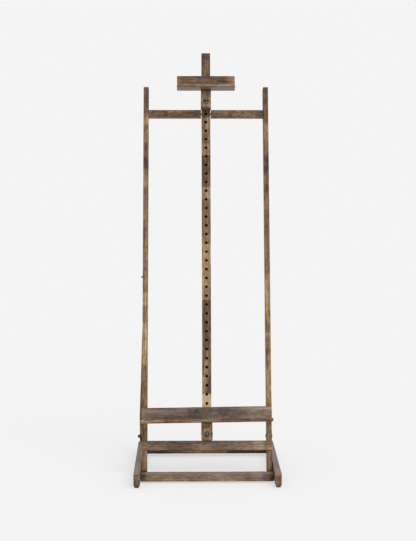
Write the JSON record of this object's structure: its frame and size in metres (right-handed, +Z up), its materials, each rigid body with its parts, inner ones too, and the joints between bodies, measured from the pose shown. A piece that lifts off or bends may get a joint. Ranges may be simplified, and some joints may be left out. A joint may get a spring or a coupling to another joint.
{
  "type": "artist easel",
  "caption": "Standing wooden easel with an H-shaped tilting frame, a drilled centre mast, and a tray and a clamp that slide on the mast and lock with pins.",
  "frame": {"origin": "on the floor, at the middle of the whole easel's footprint seen from above", "axes": "+X to the right of a person who faces the easel's front, -Y the front where the picture stands, +Z up"},
  "size_m": [0.605, 0.662, 1.7742],
  "materials": {
    "frame_wood": "weathered brown stain",
    "board_wood": "weathered grey-brown stain",
    "mast_wood": "weathered brown stain, worn lighter",
    "painted_iron": "blackened",
    "grey_steel": "dull zinc"
  },
  "bodies": {
    "base": {"front_stretcher": "board_wood", "left_lock_bolt": "grey_steel", "left_lock_plate": "painted_iron", "left_lock_spacer": "grey_steel", "left_lock_washer": "grey_steel", "left_pivot_bolt": "grey_steel", "left_pivot_nut": "grey_steel", "left_pivot_washer": "grey_steel", "left_plate_screw_1": "grey_steel", "left_plate_screw_2": "grey_steel", "left_runner": "frame_wood", "rear_stretcher": "board_wood", "right_lock_bolt": "grey_steel", "right_lock_nut": "painted_iron", "right_lock_plate": "painted_iron", "right_lock_spacer": "grey_steel", "right_lock_washer": "grey_steel", "right_pivot_bolt": "grey_steel", "right_pivot_nut": "grey_steel", "right_pivot_washer": "grey_steel", "right_plate_screw_1": "grey_steel", "right_plate_screw_2": "grey_steel", "right_runner": "frame_wood"},
    "left_wing_nut": {"left_wing_nut": "painted_iron"},
    "frame": {"left_dowel": "mast_wood", "left_lap_screw": "grey_steel", "left_post": "frame_wood", "left_strut_pin": "grey_steel", "left_top_rail": "frame_wood", "lower_rail": "board_wood", "mast": "mast_wood", "mast_foot_screw": "grey_steel", "right_dowel": "mast_wood", "right_lap_screw": "grey_steel", "right_post": "frame_wood", "right_strut_pin": "grey_steel", "right_top_rail": "frame_wood"},
    "left_strut": {"left_strut": "frame_wood"},
    "right_strut": {"right_strut": "frame_wood"},
    "clamp": {"clamp_board": "board_wood", "clamp_ferrule": "painted_iron", "clamp_ledge": "board_wood", "clamp_slider": "mast_wood", "clamp_strap": "painted_iron", "clamp_strap_screw_left": "grey_steel", "clamp_strap_screw_right": "grey_steel"},
    "clamp_pin": {"clamp_pin": "painted_iron"},
    "clamp_ring": {"clamp_ring": "painted_iron"},
    "tray": {"tray_board": "board_wood", "tray_ferrule": "painted_iron", "tray_ledge": "board_wood", "tray_slider": "mast_wood", "tray_strap": "painted_iron", "tray_strap_screw_left": "grey_steel", "tray_strap_screw_right": "grey_steel"},
    "tray_pin": {"tray_pin": "painted_iron"},
    "tray_ring": {"tray_ring": "painted_iron"}
  },
  "joints": [
    {"name": "frame_tilt", "type": "hinge", "parent": "base", "child": "frame", "pos_m": [0.0025, -0.15255, 0.0315], "axis": [-1, 0, 0], "range_deg": [-7, 1.5]},
    {"name": "left_strut_swing", "type": "hinge", "parent": "frame", "child": "left_strut", "pos_m": [-0.2585, 0.07234, 0.81251], "axis": [-1, 0, 0], "range_deg": [-0.2, 0.6]},
    {"name": "right_strut_swing", "type": "hinge", "parent": "frame", "child": "right_strut", "pos_m": [0.2635, 0.07234, 0.81251], "axis": [-1, 0, 0], "range_deg": [-0.2, 0.6]},
    {"name": "wing_nut_turn", "type": "hinge", "parent": "base", "child": "left_wing_nut", "pos_m": [-0.2975, 0.21585, 0.0765], "axis": [-1, 0, 0], "range_deg": [0, 360]},
    {"name": "clamp_slide", "type": "slide", "parent": "frame", "child": "clamp", "axis": [0, 0.2672, 0.9636], "range_m": [0, 0.0762]},
    {"name": "tray_slide", "type": "slide", "parent": "frame", "child": "tray", "axis": [0, 0.2672, 0.9636], "range_m": [0, 1.2309]},
    {"name": "clamp_pin_slide", "type": "slide", "parent": "clamp", "child": "clamp_pin", "axis": [0, 0.9636, -0.2672], "range_m": [0, 0.012]},
    {"name": "tray_pin_slide", "type": "slide", "parent": "tray", "child": "tray_pin", "axis": [0, 0.9636, -0.2672], "range_m": [0, 0.012]},
    {"name": "clamp_ring_swing", "type": "hinge", "parent": "clamp_pin", "child": "clamp_ring", "pos_m": [0.0025, 0.20497, 1.57551], "axis": [1, 0, 0], "range_deg": [-100, 8]},
    {"name": "tray_ring_swing", "type": "hinge", "parent": "tray_pin", "child": "tray_ring", "pos_m": [0.0025, -0.17956, 0.18894], "axis": [1, 0, 0], "range_deg": [-100, 8]}
  ],
  "couplings": [
    {"joint": "left_strut_swing", "follows": "frame_tilt", "ratio": -0.058},
    {"joint": "right_strut_swing", "follows": "frame_tilt", "ratio": -0.058}
  ]
}
